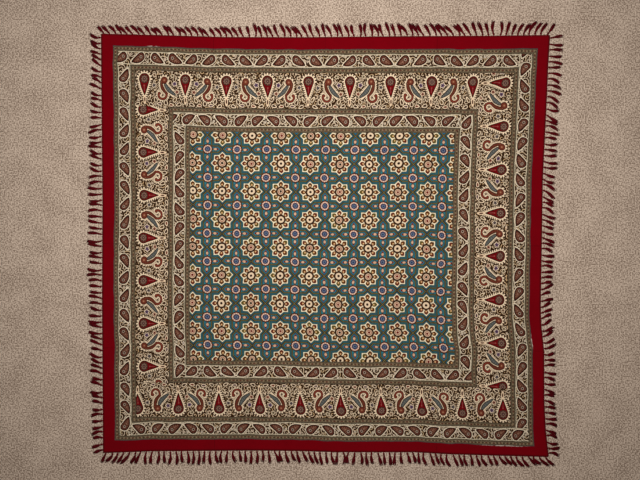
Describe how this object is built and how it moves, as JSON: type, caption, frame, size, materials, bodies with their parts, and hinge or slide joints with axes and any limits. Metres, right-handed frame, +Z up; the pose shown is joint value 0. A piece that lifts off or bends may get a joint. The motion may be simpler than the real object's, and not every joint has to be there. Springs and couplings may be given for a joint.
{
  "type": "tablecloth",
  "caption": "Square block-printed cotton tablecloth with a star-lattice field, paisley borders, a plain dark red edge and a fringe all round, laid out flat.",
  "frame": {"origin": "middle of the whole outline, fringe included, on the surface that the cloth lies on", "axes": "+X along the wider way of the cloth, +Y towards the edge at the top of the picture, +Z up out of the printed face"},
  "size_m": [1.1044, 1.0346, 0.0039],
  "materials": {
    "printed_cotton": "matt woven cotton, block printed",
    "fringe_cotton": "matt twisted cotton, dyed dark red"
  },
  "bodies": {
    "root": {"cloth": "printed_cotton", "fringe_left": "fringe_cotton", "fringe_right": "fringe_cotton", "fringe_bottom": "fringe_cotton", "fringe_top": "fringe_cotton"}
  },
  "joints": []
}
